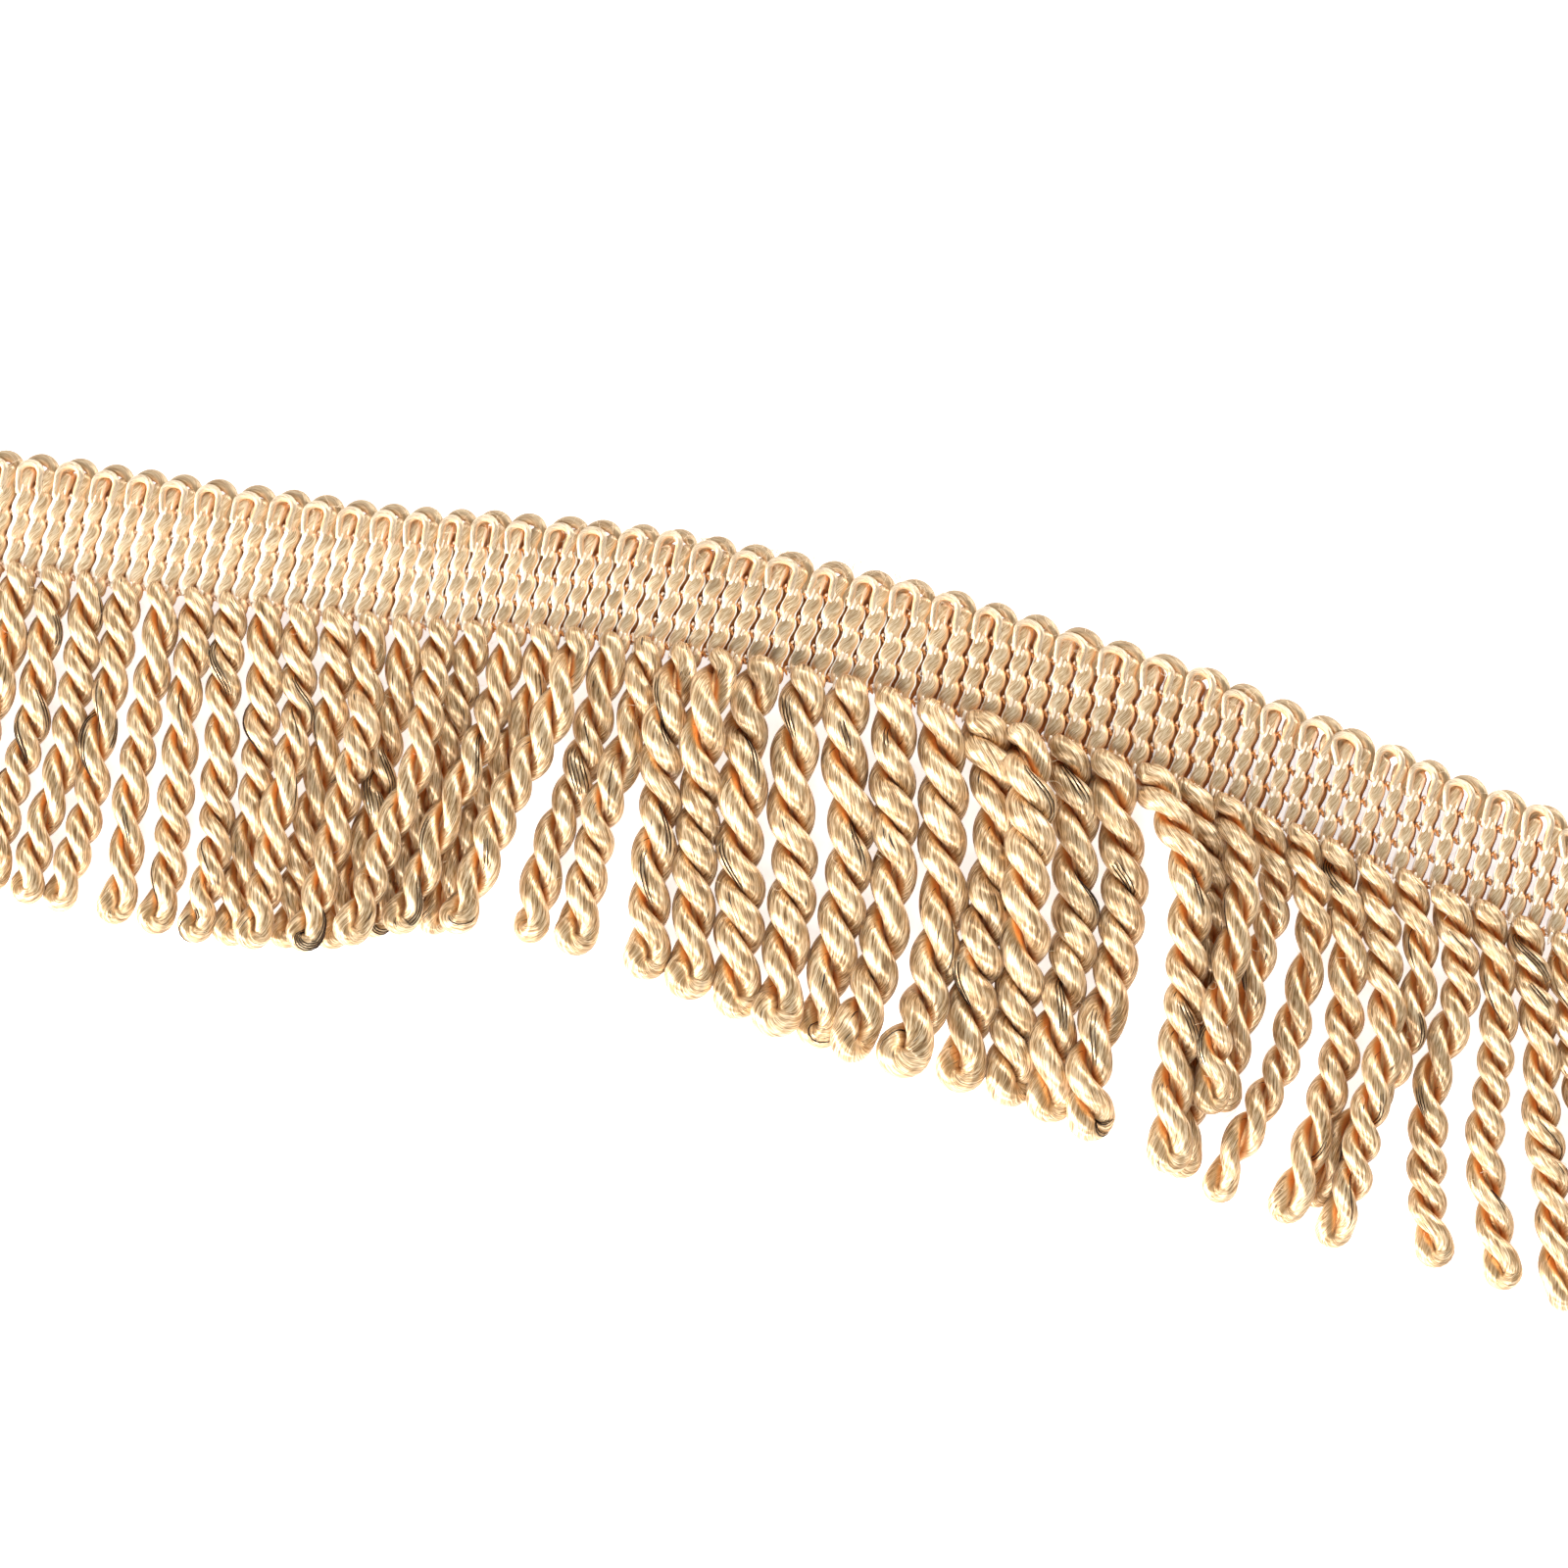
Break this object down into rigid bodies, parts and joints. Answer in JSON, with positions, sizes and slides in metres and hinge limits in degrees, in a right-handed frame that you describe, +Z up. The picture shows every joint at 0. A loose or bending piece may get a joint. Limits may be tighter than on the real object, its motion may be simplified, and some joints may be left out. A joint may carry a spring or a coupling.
{
  "type": "tassel fringe trim",
  "caption": "Length of bullion fringe trim laid flat: a woven gimp header with picot loops along one edge and twisted cords hanging from the other.",
  "frame": {"origin": "centre of the bounding box's underside, on the surface that the trim lies on", "axes": "+X along the trim, +Y from the cords towards the picot loops, +Z up off the surface, out of the trim's face"},
  "size_m": [0.1962, 0.097, 0.0078],
  "materials": {
    "header_yarn": "silky pale gold gimp yarn with fine peach stitching",
    "cord_yarn": "glossy gold-beige filament yarn, two-ply twist"
  },
  "bodies": {
    "root": {"header_band": "header_yarn", "bullion_fringe": "cord_yarn"}
  },
  "joints": []
}
